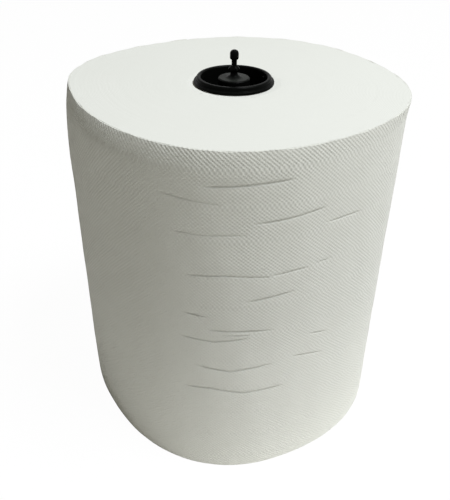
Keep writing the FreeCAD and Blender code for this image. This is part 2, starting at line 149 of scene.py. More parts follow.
def knocks(azimuth, height):
    """How far the knocks move the side at each place, in metres."""
    moved = np.zeros_like(azimuth)
    for middle, spread, start, most, reach in KNOCKS:
        aside = (np.degrees(azimuth) - middle + 180) % 360 - 180
        rise = np.clip((height * 1000 - start) / (most - start), 0, 1) ** KNOCK_CURVE
        moved += reach / 1000 * np.exp(-(aside / spread) ** 2) * rise
    return moved


def outline(azimuth):
    """The roll's radius in each direction."""
    pressed = ROLL_RADIUS + OUT_OF_ROUND / 2 * np.cos(4 * (azimuth - CORNER_AZIMUTH))
    pinched = pressed + PINCH[0] * np.cos(3 * azimuth) + PINCH[1] * np.sin(3 * azimuth)
    return pinched + OFF_CENTRE[0] * np.cos(azimuth) + OFF_CENTRE[1] * np.sin(azimuth)


def nearest_crease(azimuth, height):
    """The depth of the nearest crease, faded at both its ends, and how far above its line a point is."""
    deepest = np.zeros_like(azimuth)
    nearest = np.ones_like(azimuth)
    least = np.ones_like(azimuth)
    for depth, path in CREASES:
        turn = np.degrees(azimuth) - path[0][0]
        along = path[0][0] + (turn + 180) % 360 - 180
        azimuths, heights = zip(*path)
        middle = np.interp(along, azimuths, heights) / 1000
        fade = np.clip((along - azimuths[0]) / CREASE_FADE, 0, 1)
        fade *= np.clip((azimuths[-1] - along) / CREASE_FADE, 0, 1)
        away = height - middle
        beside = (along > azimuths[0] - CREASE_PAST_END) & (along < azimuths[-1] + CREASE_PAST_END)
        distance = np.abs(away) + np.where(fade > 0, 0, PAST_END_DISTANCE)
        nearer = beside & (distance < least)
        least = np.where(nearer, distance, least)
        nearest = np.where(nearer, away, nearest)
        deepest = np.where(nearer, depth / 1000 * fade * (np.abs(away) < CREASE_REACH), deepest)
    return deepest, np.clip(nearest, -CREASE_SEEN, CREASE_SEEN)


def soft_swell(azimuth, height):
    """The slow hollows and swells of paper wound by a web that never pulls quite evenly."""
    swell = 0.00016 * np.sin(3 * azimuth + 40 * height + 0.6) * np.sin(52 * height + 1.1)
    swell += 0.00012 * np.sin(11 * azimuth + 1.9) * np.sin(23 * height + 0.4 + 2 * azimuth)
    swell += 0.00008 * np.sin(19 * azimuth - 75 * height) * np.sin(7 * azimuth + 130 * height)
    return swell


def edit(piece, choose=None, mode="VERT"):
    """Edit mode on one piece with only the elements that choose accepts selected."""
    if bpy.context.mode != "OBJECT":
        bpy.ops.object.mode_set(mode="OBJECT")
    bpy.ops.object.select_all(action="DESELECT")
    piece.select_set(True)
    bpy.context.view_layer.objects.active = piece
    bpy.ops.object.mode_set(mode="EDIT")
    bpy.ops.mesh.select_all(action="DESELECT")
    bpy.ops.mesh.select_mode(type=mode)
    bpy.ops.object.mode_set(mode="OBJECT")
    elements = {"VERT": piece.data.vertices, "EDGE": piece.data.edges, "FACE": piece.data.polygons}[mode]
    for element in elements:
        element.select = choose is None or choose(element)
    bpy.ops.object.mode_set(mode="EDIT")


def object_mode(piece, name):
    """Back to object mode, with the piece named."""
    bpy.ops.object.mode_set(mode="OBJECT")
    piece.name = name
    piece.data.name = name
    return piece


def edge_middle(piece, edge):
    """The middle of an edge."""
    first, second = (piece.data.vertices[number].co for number in edge.vertices)
    return (first + second) / 2


def make_outer_sheet():
    """A fine grid round the roll, closed by a thin rim at each end and a plain inner wall."""
    bpy.ops.object.select_all(action="DESELECT")
    bpy.ops.mesh.primitive_cylinder_add(
        vertices=SHEET_COLUMNS, radius=ROLL_RADIUS, depth=ROLL_HEIGHT, end_fill_type="NOTHING",
        location=(0, 0, ROLL_HEIGHT / 2))
    piece = bpy.context.object
    bpy.ops.object.transform_apply(location=True, rotation=True, scale=True)
    middle = ROLL_HEIGHT / 2
    edit(piece, lambda edge: abs(edge_middle(piece, edge).z - middle) < NEAR, "EDGE")
    bpy.ops.mesh.subdivide(number_cuts=SHEET_ROWS - 1)
    inner = 1 - SHEET_WALL / ROLL_RADIUS
    edit(piece, lambda edge: abs(edge_middle(piece, edge).z - middle) > middle - NEAR, "EDGE")
    bpy.ops.mesh.extrude_edges_move()
    bpy.ops.transform.resize(value=(inner, inner, 1))
    bpy.ops.mesh.bridge_edge_loops()
    bpy.ops.mesh.select_all(action="SELECT")
    bpy.ops.mesh.normals_make_consistent(inside=False)
    return object_mode(piece, "outer_sheet")


def points(piece):
    """The piece's vertices as an array."""
    flat = np.empty(len(piece.data.vertices) * 3)
    piece.data.vertices.foreach_get("co", flat)
    return flat.reshape(-1, 3)


def move_points(piece, places):
    """Puts the piece's vertices at these places."""
    piece.data.vertices.foreach_set("co", places.ravel())
    piece.data.update()


def lay_out_sheet(piece, column, row):
    """The sheet's own map, counted in dots round and up it, unbroken where the count starts again."""
    mesh = piece.data
    corners = np.empty(len(mesh.loops), int)
    mesh.loops.foreach_get("vertex_index", corners)
    first = np.empty(len(mesh.polygons), int)
    sides = np.empty(len(mesh.polygons), int)
    mesh.polygons.foreach_get("loop_start", first)
    mesh.polygons.foreach_get("loop_total", sides)
    here = column[corners]
    start = np.repeat(here[first], sides)
    here = start + (here - start + SHEET_COLUMNS / 2) % SHEET_COLUMNS - SHEET_COLUMNS / 2
    flat = mesh.uv_layers.new(name="dots")
    flat.data.foreach_set("uv", np.column_stack([here + 0.5, row[corners]]).ravel())


def tail_relief(azimuth, edge_column):
    """How far the tail stands above the turn beneath it, most at its loose edge."""
    past = azimuth - (edge_column + TAIL_FACE[1]) / SHEET_COLUMNS * math.tau
    lap = np.where((past > 0) & (past < TAIL_LAP), 1 - past / TAIL_LAP, 0.0)
    loose = np.where(past > 0, np.clip(1 - past / (TAIL_LOOSE * TAIL_LAP), 0, 1) ** 2, 0.0)
    return TAIL_STEP * lap + TAIL_LIFT * loose


def rim_wave(azimuth):
    """The slight unevenness of the sheet's cut edge."""
    return 0.00012 * np.sin(17 * azimuth) + 0.0001 * np.sin(41 * azimuth + 1.0)


def shape_outer_sheet(piece):
    """Moves the grid's points onto the pressed roll, with the dots, the creases and the tail."""
    places = points(piece)
    azimuth = np.arctan2(places[:, 1], places[:, 0])
    height = places[:, 2].copy()
    outside = np.hypot(places[:, 0], places[:, 1]) > ROLL_RADIUS - SHEET_WALL / 2
    column = np.floor(azimuth / math.tau * SHEET_COLUMNS)
    row = np.round(height / ROLL_HEIGHT * SHEET_ROWS)
    at_rim = (row == 0) | (row == SHEET_ROWS)
    edge_column = round(TAIL_EDGE / math.tau * SHEET_COLUMNS)
    under_tail = column == edge_column - 1
    azimuth = np.where(under_tail, (edge_column + TAIL_FACE[0]) / SHEET_COLUMNS * math.tau, azimuth)
    depth, away = nearest_crease(azimuth, height)
    dots = DOT_HEIGHT * np.where((column + row) % 2 == 0, 1.0, -1.0) * ~at_rim
    dents = CREASE_IN_GRID * depth * np.exp(-(away / CREASE_WIDTH) ** 2)
    relief = dots - dents + soft_swell(azimuth, height) + tail_relief(azimuth, edge_column)
    relief -= TAIL_GAP * under_tail + RIM_EASE * at_rim
    side = outline(azimuth) + knocks(azimuth, height)
    radius = side + np.where(outside, relief, -SHEET_BACK)
    height += np.where(row == SHEET_ROWS, rim_wave(azimuth) - RIM_SUNK, 0.0)
    move_points(piece, np.column_stack([radius * np.cos(azimuth), radius * np.sin(azimuth), height]))
    for name, values in (("crease_depth", depth), ("crease_away", away)):
        piece.data.attributes.new(name, "FLOAT", "POINT").data.foreach_set("value", values * 1000)
    lay_out_sheet(piece, azimuth / math.tau * SHEET_COLUMNS, row)


def linear(hex_colour):
    """A shader colour from an sRGB hex colour."""
    parts = [int(hex_colour[place:place + 2], 16) / 255 for place in (1, 3, 5)]
    return [part / 12.92 if part < 0.04045 else ((part + 0.055) / 1.055) ** 2.4 for part in parts] + [1.0]


def add_node(material, kind, links=None, **settings):
    """A shader node with its inputs linked or set, and its own settings."""
    node = material.node_tree.nodes.new(kind)
    for name, setting in settings.items():
        setattr(node, name, setting)
    for socket, source in (links or {}).items():
        if isinstance(source, bpy.types.NodeSocket):
            material.node_tree.links.new(source, node.inputs[socket])
        else:
            node.inputs[socket].default_value = source
    return node


def new_material(name):
    """An empty node material and its output node."""
    material = bpy.data.materials.new(name)
    material.use_nodes = True
    material.node_tree.nodes.clear()
    return material, material.node_tree.nodes.new("ShaderNodeOutputMaterial")


def finish_material(material, output, shader):
    """Joins the shader to the material's output."""
    material.node_tree.links.new(shader.outputs[0], output.inputs["Surface"])
    return material


def dot_relief(material, place, patches):
    """The dots, counted on the sheet's own map, pressed harder in some patches and crisp near the rim."""
    count = add_node(material, "ShaderNodeUVMap", uv_map="dots")
    split = add_node(material, "ShaderNodeSeparateXYZ", {0: count.outputs[0]})
    waves = []
    for way in (split.outputs[0], split.outputs[1]):
        half_turns = add_node(material, "ShaderNodeMath", {0: way, 1: math.pi}, operation="MULTIPLY")
        waves.append(add_node(material, "ShaderNodeMath", {0: half_turns.outputs[0]}, operation="COSINE"))
    dots = add_node(material, "ShaderNodeMath", {
        0: waves[0].outputs[0], 1: waves[1].outputs[0]}, operation="MULTIPLY")
    raised = add_node(material, "ShaderNodeMapRange", {
        "Value": dots.outputs[0], "From Min": -0.8, "From Max": 0.8, "To Min": -1.0, "To Max": 1.0},
        interpolation_type="SMOOTHSTEP")
    press = add_node(material, "ShaderNodeMapRange", {
        "Value": patches.outputs[0], "From Min": 0.3, "From Max": 0.7, "To Min": 0.35, "To Max": 0.75})
    above = add_node(material, "ShaderNodeSeparateXYZ", {0: place})
    crisp = add_node(material, "ShaderNodeMapRange", {
        "Value": above.outputs[2], "From Min": ROLL_HEIGHT - CRISP_BAND[0],
        "From Max": ROLL_HEIGHT - CRISP_BAND[1], "To Min": 1.0, "To Max": 1.6})
    crisper = add_node(material, "ShaderNodeMath", {
        0: press.outputs[0], 1: crisp.outputs[0]}, operation="MULTIPLY")
    return add_node(material, "ShaderNodeMath", {
        0: raised.outputs[0], 1: crisper.outputs[0]}, operation="MULTIPLY")


def crease_fold(material):
    """The sharp fold along the middle of each crease, from the distances that the grid carries. It bends the
    finish's normal and sets where painted shade darkens the crease.
    """
    away = add_node(material, "ShaderNodeAttribute", attribute_name="crease_away")
    deep = add_node(material, "ShaderNodeAttribute", attribute_name="crease_depth")
    square = add_node(material, "ShaderNodeMath", {0: away.outputs["Fac"], 1: 2.0}, operation="POWER")
    fall = add_node(material, "ShaderNodeMath", {
        0: square.outputs[0], 1: -FOLD_SHARPNESS}, operation="MULTIPLY")
    valley = add_node(material, "ShaderNodeMath", {0: fall.outputs[0]}, operation="EXPONENT")
    return add_node(material, "ShaderNodeMath", {
        0: valley.outputs[0], 1: deep.outputs["Fac"]}, operation="MULTIPLY")


def embossed_tissue():
    """Soft bleached tissue pressed by embossing rollers: matt, with short fibres lying every way, and
    painted shade darkening the fold of each crease.
    """
    material, output = new_material("embossed_tissue_roller_pressed")
    place = add_node(material, "ShaderNodeTexCoord").outputs["Object"]
    patches = add_node(material, "ShaderNodeTexNoise", {
        "Vector": place, "Scale": 1 / PRESS_PATCH, "Detail": 3.0})
    stretch = add_node(material, "ShaderNodeMapping", {"Vector": place, "Scale": (1.0, 1.0, 0.45)})
    fibre = add_node(material, "ShaderNodeTexNoise", {
        "Vector": stretch.outputs[0], "Scale": 1 / FIBRE_LENGTH, "Detail": 4.0, "Roughness": 0.65,
        "Distortion": 0.6})
    tone = add_node(material, "ShaderNodeMix", {
        "Factor": patches.outputs[0], 6: linear("#EFEFE8"), 7: linear("#F4F4EE")}, data_type="RGBA")
    tuft = add_node(material, "ShaderNodeMix", {
        "Factor": fibre.outputs[0], 6: linear("#E4E4DC"), 7: tone.outputs[2]}, data_type="RGBA")
    dots = dot_relief(material, place, patches)
    embossed = add_node(material, "ShaderNodeBump", {
        "Height": dots.outputs[0], "Strength": 1.0, "Distance": DOT_HEIGHT})
    fold = crease_fold(material)
    creased = add_node(material, "ShaderNodeBump", {
        "Height": fold.outputs[0], "Strength": 1.0, "Distance": FOLD_DEPTH, "Normal": embossed.outputs[0]},
        invert=True)
    napped = add_node(material, "ShaderNodeBump", {
        "Height": fibre.outputs[0], "Strength": 0.5, "Distance": FIBRE_RELIEF, "Normal": creased.outputs[0]})
    # Painted shade: the colour is darkened along each crease's fold, where shade falls in the real fold.
    crease_painted_shade = add_node(material, "ShaderNodeMix", {
        "Factor": fold.outputs[0], 6: tuft.outputs[2], 7: linear("#A9A89C")}, data_type="RGBA")
    shader = add_node(material, "ShaderNodeBsdfPrincipled", {
        "Base Color": crease_painted_shade.outputs[2], "Roughness": 0.92, "Specular IOR Level": 0.2,
        "Sheen Weight": 0.15, "Sheen Roughness": 0.6, "Normal": napped.outputs[0]})
    return finish_material(material, output, shader)


def smooth(piece, angle):
    """Smooth shading, except across edges sharper than the angle."""
    bpy.ops.object.select_all(action="DESELECT")
    piece.select_set(True)
    bpy.context.view_layer.objects.active = piece
    bpy.ops.object.shade_smooth_by_angle(angle=math.radians(angle))


def dress(piece, material):
    """The piece gets this finish and no other."""
    piece.data.materials.clear()
    piece.data.materials.append(material)


outer_sheet = make_outer_sheet()
shape_outer_sheet(outer_sheet)
smooth(outer_sheet, 50)
dress(outer_sheet, embossed_tissue())
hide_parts("paper_roll")
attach(outer_sheet, "root")

# The wound turns inside it: some four hundred turns of the same sheet, cut to width
# in one pass, so that both end faces show their edges as fine close rings. The turns
# and the nap of their edges are too fine to show, so a ring here stands for four.

CORE_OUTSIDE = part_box("core_tube")[1].x
TURNS_INSET = 0.0008
TURN_COUNT = 104
TURN_STEPS = 240
TURN_SEED = 7
TURN_RELIEF = 0.00002
TURN_SINK = 1.8
LAST_TURN_SINK = 1.5
WALL_HEIGHTS = (0.012, 0.025, 0.17, 0.18, 0.19, 0.2)
FLANGE_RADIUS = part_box("end_plug")[1].x
PRESSED_IN = 0.0004
PRESSED_WIDTH = 0.0026
RING_SPACING = 0.00075
# The wave texture runs through this many radians in each unit of its scale.
WAVE_RATE = 20
NAP_LENGTH = 0.0003
TONE_PATCH = 0.04


def spin_section(corners, steps, name):
    """A closed section in the XZ plane, drawn point by point from one vertex and spun round Z."""
    bpy.ops.object.select_all(action="DESELECT")
    across, up = corners[0]
    bpy.ops.mesh.primitive_plane_add(size=0.001, location=(across, 0, up))
    piece = bpy.context.object
    bpy.ops.object.transform_apply(location=True, rotation=True, scale=True)
    edit(piece, lambda vertex: vertex.index > 0)
    bpy.ops.mesh.delete(type="VERT")
    bpy.ops.object.mode_set(mode="OBJECT")
    move_points(piece, np.array([[across, 0.0, up]]))
    edit(piece)
    for here, there in zip(corners, corners[1:]):
        step = (there[0] - here[0], 0, there[1] - here[1])
        bpy.ops.mesh.extrude_region_move(TRANSFORM_OT_translate={"value": step})
    last = len(corners) - 1
    edit(piece, lambda vertex: vertex.index in (0, last))
    if abs(corners[0][0]) > NEAR:
        bpy.ops.mesh.edge_face_add()
    bpy.ops.mesh.select_all(action="SELECT")
    bpy.ops.mesh.spin(steps=steps, angle=math.tau, center=(0, 0, 0), axis=(0, 0, 1))
    bpy.ops.mesh.select_all(action="SELECT")
    bpy.ops.mesh.remove_doubles(threshold=1e-6)
    bpy.ops.mesh.normals_make_consistent(inside=False)
    return object_mode(piece, name)


def make_wound_turns():
    """A ring with a flat section, spun round the axis, its ends divided into turns."""
    inner = CORE_OUTSIDE
    outer = ROLL_RADIUS - TURNS_INSET
    step = (outer - inner) / TURN_COUNT
    bottom = [(inner + step * turn, 0.0) for turn in range(TURN_COUNT + 1)]
    wall = [(outer, height) for height in WALL_HEIGHTS]
    top = [(across, ROLL_HEIGHT) for across, _ in reversed(bottom)]
    return spin_section(bottom + wall + top, TURN_STEPS, "wound_turns")


def shape_wound_turns(piece):
    """Spreads the turns out to the pressed outline and lifts each edge a little differently."""
    places = points(piece)
    azimuth = np.arctan2(places[:, 1], places[:, 0])
    radius = np.hypot(places[:, 0], places[:, 1])
    share = (radius - CORE_OUTSIDE) / (ROLL_RADIUS - TURNS_INSET - CORE_OUTSIDE)
    turn = np.round(share * TURN_COUNT)
    side = outline(azimuth) + knocks(azimuth, places[:, 2]) - TURNS_INSET
    spread = CORE_OUTSIDE + share * (side - CORE_OUTSIDE)
    uneven = np.random.default_rng(TURN_SEED).uniform(-1, 1, TURN_COUNT + 1)
    slow = 0.6 * np.sin(turn * 0.55) * np.sin(2 * azimuth + turn * 0.11)
    relief = TURN_RELIEF * (uneven[turn.astype(int)] + slow - TURN_SINK)
    relief = np.where(turn >= TURN_COUNT - 1, TURN_RELIEF * -LAST_TURN_SINK, relief)
    at_flange = np.exp(-((radius - FLANGE_RADIUS) / PRESSED_WIDTH) ** 2)
    relief -= PRESSED_IN * at_flange * (places[:, 2] > ROLL_HEIGHT / 2)
    height = places[:, 2] + np.where(places[:, 2] > ROLL_HEIGHT - NEAR, relief, 0.0)
    height -= np.where(places[:, 2] < NEAR, relief, 0.0)
    move_points(piece, np.column_stack([spread * np.cos(azimuth), spread * np.sin(azimuth), height]))


def cut_tissue_edges():
    """The cut edges of tissue wound tightly: matt, packed rings with a faint nap."""
    material, output = new_material("tissue_edges_saw_cut")
    place = add_node(material, "ShaderNodeTexCoord").outputs["Object"]
    flat = add_node(material, "ShaderNodeMapping", {"Vector": place, "Scale": (1.0, 1.0, 0.0)})
    rings = add_node(material, "ShaderNodeTexWave", {
        "Vector": flat.outputs[0], "Scale": math.tau / WAVE_RATE / RING_SPACING, "Distortion": 1.2,
        "Detail": 2.0, "Detail Scale": 2.0},
        wave_type="RINGS", rings_direction="SPHERICAL")
    nap = add_node(material, "ShaderNodeTexNoise", {
        "Vector": place, "Scale": 1 / NAP_LENGTH, "Detail": 3.0})
    cloud = add_node(material, "ShaderNodeTexNoise", {
        "Vector": place, "Scale": 1 / TONE_PATCH, "Detail": 3.0})
    tone = add_node(material, "ShaderNodeMix", {
        "Factor": cloud.outputs[0], 6: linear("#F0F0EA"), 7: linear("#F5F5F0")}, data_type="RGBA")
    packed = add_node(material, "ShaderNodeMix", {
        "Factor": rings.outputs[1], 6: linear("#E9E9E2"), 7: tone.outputs[2]}, data_type="RGBA")
    first = add_node(material, "ShaderNodeBump", {
        "Height": rings.outputs[1], "Strength": 0.1, "Distance": 0.00006})
    second = add_node(material, "ShaderNodeBump", {
        "Height": nap.outputs[0], "Strength": 0.35, "Distance": 0.00008, "Normal": first.outputs[0]})
    shader = add_node(material, "ShaderNodeBsdfPrincipled", {
        "Base Color": packed.outputs[2], "Roughness": 0.95, "Specular IOR Level": 0.15,
        "Normal": second.outputs[0]})
    return finish_material(material, output, shader)


wound_turns = make_wound_turns()
shape_wound_turns(wound_turns)
smooth(wound_turns, 30)
dress(wound_turns, cut_tissue_edges())
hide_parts("paper_roll")
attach(wound_turns, "root")

# The core: grey-brown board in strips, glued and wound slantwise into a tube, with
# a shallow seam where one strip's edge meets the next. The paper is glued to it,
# and its top is widened a little as the plug's seat.

CORE_BORE = 0.019
CORE_EASE = 0.00005
SEAT_RADIUS = 0.01925
SEAT_DEPTH = 0.024
STRIP_RISE = 0.080
SEAM_DEPTH = 0.00012
SEAM_WIDTH = 0.0016
CORE_ROWS = 56
CORE_STEPS = 120
BOARD_GRAIN = 0.0011
FLECK_SPACING = 0.0024


def make_core():
    """The tube's wall, spun, with the plug's seat at its top."""
    seat = ROLL_HEIGHT - SEAT_DEPTH
    inside = [(CORE_BORE, seat - seat * row / CORE_ROWS) for row in range(CORE_ROWS + 1)]
    outside = [(CORE_OUTSIDE - CORE_EASE, height) for height in (0.0, ROLL_HEIGHT)]
    section = [(SEAT_RADIUS, ROLL_HEIGHT), (SEAT_RADIUS, seat)] + inside + outside
    piece = spin_section(section, CORE_STEPS, "cardboard_core")
    places = points(piece)
    azimuth = np.arctan2(places[:, 1], places[:, 0])
    radius = np.hypot(places[:, 0], places[:, 1])
    bore = np.abs(radius - CORE_BORE) < NEAR
    rise = (places[:, 2] - azimuth / math.tau * STRIP_RISE) % STRIP_RISE
    seam = np.exp(-((rise - STRIP_RISE / 2) / SEAM_WIDTH) ** 2)
    wider = radius + np.where(bore, SEAM_DEPTH * seam, 0.0)
    move_points(piece, np.column_stack([wider * np.cos(azimuth), wider * np.sin(azimuth), places[:, 2]]))
    return piece


def wound_board():
    """Recycled grey-brown board, spiral wound and glued, with flecks and a faint grain."""
    material, output = new_material("greyboard_spiral_wound")
    place = add_node(material, "ShaderNodeTexCoord").outputs["Object"]
    grain = add_node(material, "ShaderNodeTexNoise", {
        "Vector": place, "Scale": 1 / BOARD_GRAIN, "Detail": 5.0})
    fleck = add_node(material, "ShaderNodeTexVoronoi", {"Vector": place, "Scale": 1 / FLECK_SPACING})
    speck = add_node(material, "ShaderNodeMapRange", {
        "Value": fleck.outputs[0], "From Min": 0.05, "From Max": 0.16, "To Min": 1.0, "To Max": 0.0})
    board = add_node(material, "ShaderNodeMix", {
        "Factor": grain.outputs[0], 6: linear("#8C7B63"), 7: linear("#B3A288")}, data_type="RGBA")
    flecked = add_node(material, "ShaderNodeMix", {
        "Factor": speck.outputs[0], 6: board.outputs[2], 7: linear("#6B5C48")}, data_type="RGBA")
    bump = add_node(material, "ShaderNodeBump", {
        "Height": grain.outputs[0], "Strength": 0.4, "Distance": 0.0001})
    shader = add_node(material, "ShaderNodeBsdfPrincipled", {
        "Base Color": flecked.outputs[2], "Roughness": 0.85, "Normal": bump.outputs[0]})
    return finish_material(material, output, shader)


cardboard_core = make_core()
smooth(cardboard_core, 35)
dress(cardboard_core, wound_board())
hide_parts("core_tube")
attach(cardboard_core, "root")

# The end plug: one black polypropylene moulding, pushed into the core, with a
# stepped rim on the paper, a deep recess, a hub and a headed pin. Ridges on its skirt
# crush against the core and hold it there.

# Sections are radius and height in millimetres, the height counted from the paper's top.
MM = 0.001
PLUG_STEPS = 128
PLUG_SECTION = [
    (0.0, 18.0), (0.9, 17.9), (1.75, 17.5), (2.3, 16.7), (2.45, 15.9),
    (2.45, 13.5), (2.2, 12.9), (1.5, 12.5), (1.5, 9.3), (2.5, 7.9), (2.6, 6.7), (1.9, 6.3),
    (1.9, 5.2), (2.3, 4.1), (4.0, 2.9), (5.6, 2.65), (8.2, 2.8), (9.0, 2.2), (9.0, -11.0), (10.0, -12.0),
    (16.5, -12.0), (17.5, -11.0), (17.5, -6.0), (18.7, -1.0), (18.7, 3.1), (19.2, 3.6),
    (20.5, 3.6), (21.05, 3.05), (21.05, 1.5), (21.35, 1.3), (22.4, 1.3), (22.65, 1.0), (22.65, 0.02),
    (19.0, 0.02), (19.0, -23.0), (18.5, -24.0), (17.5, -24.0), (17.5, -13.5),
    (7.5, -13.5), (7.5, 1.3), (0.0, 1.3),
]
LOBE_SECTION = [(0.8, 9.2), (0.8, 6.5), (3.0, 6.5), (3.15, 7.3), (2.7, 8.3), (1.6, 9.2)]
LOBE_COUNT = 6
RIB_THICKNESS = 0.0012
WEB_SECTION = [(8.2, -12.8), (8.2, -19.5), (18.2, -19.5), (18.2, -12.8)]
WEB_COUNT = 6
RIDGE_SECTION = [(18.8, -0.2), (18.8, -22.6), (19.24, -22.2), (19.24, -0.2)]
RIDGE_COUNT = 6
RIDGE_THICKNESS = 0.0009
KEY_AZIMUTH = math.radians(20)
KEY_SECTION = [(19.9, 1.4), (17.2, 1.4), (17.2, -2.6), (18.2, -2.6), (18.2, 0.0), (19.9, 0.0)]
KEY_THICKNESS = 0.0016
PLUG_EDGE = 0.00012
LOBE_EDGE = 0.00015
KEY_EDGE = 0.0002
# The spark-eroded grain is too fine to show, so it is coarser here.
MOULD_GRAIN = 0.00024
MOULD_RELIEF = 0.00004
SCUFF_LENGTH = 0.0038
# Dust and a painted sheen lie outside the first of these radii round the pin, and inside those at the hub's
# edge.
OFF_PIN = (0.0028, 0.005)
HUB_EDGE = (0.0088, 0.0095)


def lifted(section):
    """A section's millimetres above the paper's top as metres above the floor."""
    return [(across * MM, ROLL_HEIGHT + up * MM) for across, up in section]


def slab(section, thickness, name):
    """An upright slab: a section's outline in the XZ plane, filled and thickened evenly."""
    corners = lifted(section)
    bpy.ops.object.select_all(action="DESELECT")
    bpy.ops.mesh.primitive_circle_add(vertices=len(corners), radius=0.001, fill_type="NGON")
    piece = bpy.context.object
    move_points(piece, np.array([[across, -thickness / 2, up] for across, up in corners]))
    edit(piece)
    bpy.ops.mesh.extrude_region_move(TRANSFORM_OT_translate={"value": (0, thickness, 0)})
    bpy.ops.mesh.select_all(action="SELECT")
    bpy.ops.mesh.normals_make_consistent(inside=False)
    return object_mode(piece, name)


def turned(piece, azimuth):
    """The piece turned round Z in its mesh."""
    piece.data.transform(Matrix.Rotation(azimuth, 4, "Z"))
    return piece


def copies_round(piece, count):
    """The piece and its copies, each with its own mesh, evenly round Z."""
    every = [piece]
    for step in range(1, count):
        copy = piece.copy()
        copy.data = piece.data.copy()
        bpy.context.scene.collection.objects.link(copy)
        every.append(turned(copy, math.tau * step / count))
    return every


def join(main, others):
    """One piece out of several."""
    bpy.ops.object.select_all(action="DESELECT")
    for piece in [main] + others:
        piece.select_set(True)
    bpy.context.view_layer.objects.active = main
    bpy.ops.object.join()
    return main


def apply_bevel(piece, width, angle):
    """Rounds the piece's sharp edges with a bevel modifier, applied."""
    bevel = piece.modifiers.new("eased edges", "BEVEL")
    bevel.width = width
    bevel.segments = 2
    bevel.limit_method = "ANGLE"
    bevel.angle_limit = math.radians(angle)
    bpy.ops.object.select_all(action="DESELECT")
    piece.select_set(True)
    bpy.context.view_layer.objects.active = piece
    bpy.ops.object.modifier_apply(modifier=bevel.name)


def make_plug():
    """The turned moulding with its lobes, webs, ridges and key."""
    plug = spin_section(lifted(PLUG_SECTION), PLUG_STEPS, "moulded_plug")
    apply_bevel(plug, PLUG_EDGE, 30)
    lobe = slab(LOBE_SECTION, RIB_THICKNESS, "lobe")
    apply_bevel(lobe, LOBE_EDGE, 25)
    web = slab(WEB_SECTION, RIB_THICKNESS, "web")
    ridge = slab(RIDGE_SECTION, RIDGE_THICKNESS, "ridge")
    key = slab(KEY_SECTION, KEY_THICKNESS, "key")
    apply_bevel(key, KEY_EDGE, 25)
    turned(key, KEY_AZIMUTH)
    extras = copies_round(lobe, LOBE_COUNT) + copies_round(web, WEB_COUNT)
    extras += copies_round(ridge, RIDGE_COUNT) + [key]
    return join(plug, extras)


def dust_and_painted_sheen(material, place, scuff):
    """Where dust and a painted sheen lie: on the hub's faces that look up, painted lighter as if lit from
    above, clear of the pin, thicker in some places.
    """
    facing = add_node(material, "ShaderNodeTexCoord").outputs["Normal"]
    split = add_node(material, "ShaderNodeSeparateXYZ", {0: facing})
    # Painted sheen and dust: faces that look up are made lighter, as the light from above and the dust on
    # them would make them.
    upward = add_node(material, "ShaderNodeMapRange", {
        "Value": split.outputs[2], "From Min": 0.75, "From Max": 0.98, "To Min": 0.0, "To Max": 1.0})
    level = add_node(material, "ShaderNodeMapping", {"Vector": place, "Scale": (1.0, 1.0, 0.0)})
    reach = add_node(material, "ShaderNodeVectorMath", {0: level.outputs[0]}, operation="LENGTH")
    off_pin = add_node(material, "ShaderNodeMapRange", {
        "Value": reach.outputs["Value"], "From Min": OFF_PIN[0], "From Max": OFF_PIN[1],
        "To Min": 0.1, "To Max": 1.0})
    on_hub = add_node(material, "ShaderNodeMapRange", {
        "Value": reach.outputs["Value"], "From Min": HUB_EDGE[0], "From Max": HUB_EDGE[1],
        "To Min": 1.0, "To Max": 0.06})
    thickness = add_node(material, "ShaderNodeMapRange", {
        "Value": scuff.outputs[0], "From Min": 0.3, "From Max": 0.7, "To Min": 0.35, "To Max": 0.8})
    dust_and_sheen = upward
    for limit in (off_pin, on_hub, thickness):
        dust_and_sheen = add_node(material, "ShaderNodeMath", {
            0: dust_and_sheen.outputs[0], 1: limit.outputs[0]}, operation="MULTIPLY")
    return dust_and_sheen


def moulded_black():
    """Black polypropylene straight from a spark-eroded mould: satin, finely grained, scuffed and dusty, with
    a painted sheen lightening the faces that look up.
    """
    material, output = new_material("black_polypropylene_moulded_satin")
    place = add_node(material, "ShaderNodeTexCoord").outputs["Object"]
    grain = add_node(material, "ShaderNodeTexNoise", {
        "Vector": place, "Scale": 1 / MOULD_GRAIN, "Detail": 2.0})
    scuff = add_node(material, "ShaderNodeTexNoise", {
        "Vector": place, "Scale": 1 / SCUFF_LENGTH, "Detail": 5.0, "Distortion": 1.4})
    dust_and_sheen = dust_and_painted_sheen(material, place, scuff)
    # The faces that look up are painted lighter grey: partly dust, partly painted sheen from the light
    # above.
    colour = add_node(material, "ShaderNodeMix", {
        "Factor": dust_and_sheen.outputs[0], 6: linear("#080908"), 7: linear("#353734")}, data_type="RGBA")
    rough = add_node(material, "ShaderNodeMapRange", {
        "Value": scuff.outputs[0], "From Min": 0.3, "From Max": 0.7, "To Min": 0.24, "To Max": 0.4})
    bump = add_node(material, "ShaderNodeBump", {
        "Height": grain.outputs[0], "Strength": 0.3, "Distance": MOULD_RELIEF})
    shader = add_node(material, "ShaderNodeBsdfPrincipled", {
        "Base Color": colour.outputs[2], "Roughness": rough.outputs[0], "Specular IOR Level": 0.02,
        "Normal": bump.outputs[0]})
    return finish_material(material, output, shader)


moulded_plug = make_plug()
smooth(moulded_plug, 35)
dress(moulded_plug, moulded_black())
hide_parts("end_plug")
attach(moulded_plug, "root")

# The camera, where the photo was taken from: its place and turns were fitted to the
# roll's outline. The focal length is in pixels of a picture 500 pixels high.

# Metres, then radians.
CAMERA_BACK = 0.3453
CAMERA_HEIGHT = 0.3223
YAW = -0.0133
PITCH = 0.5806
ROLL = 0.0110
FOCAL = 620.56
PICTURE_HEIGHT = 500
SENSOR = 36


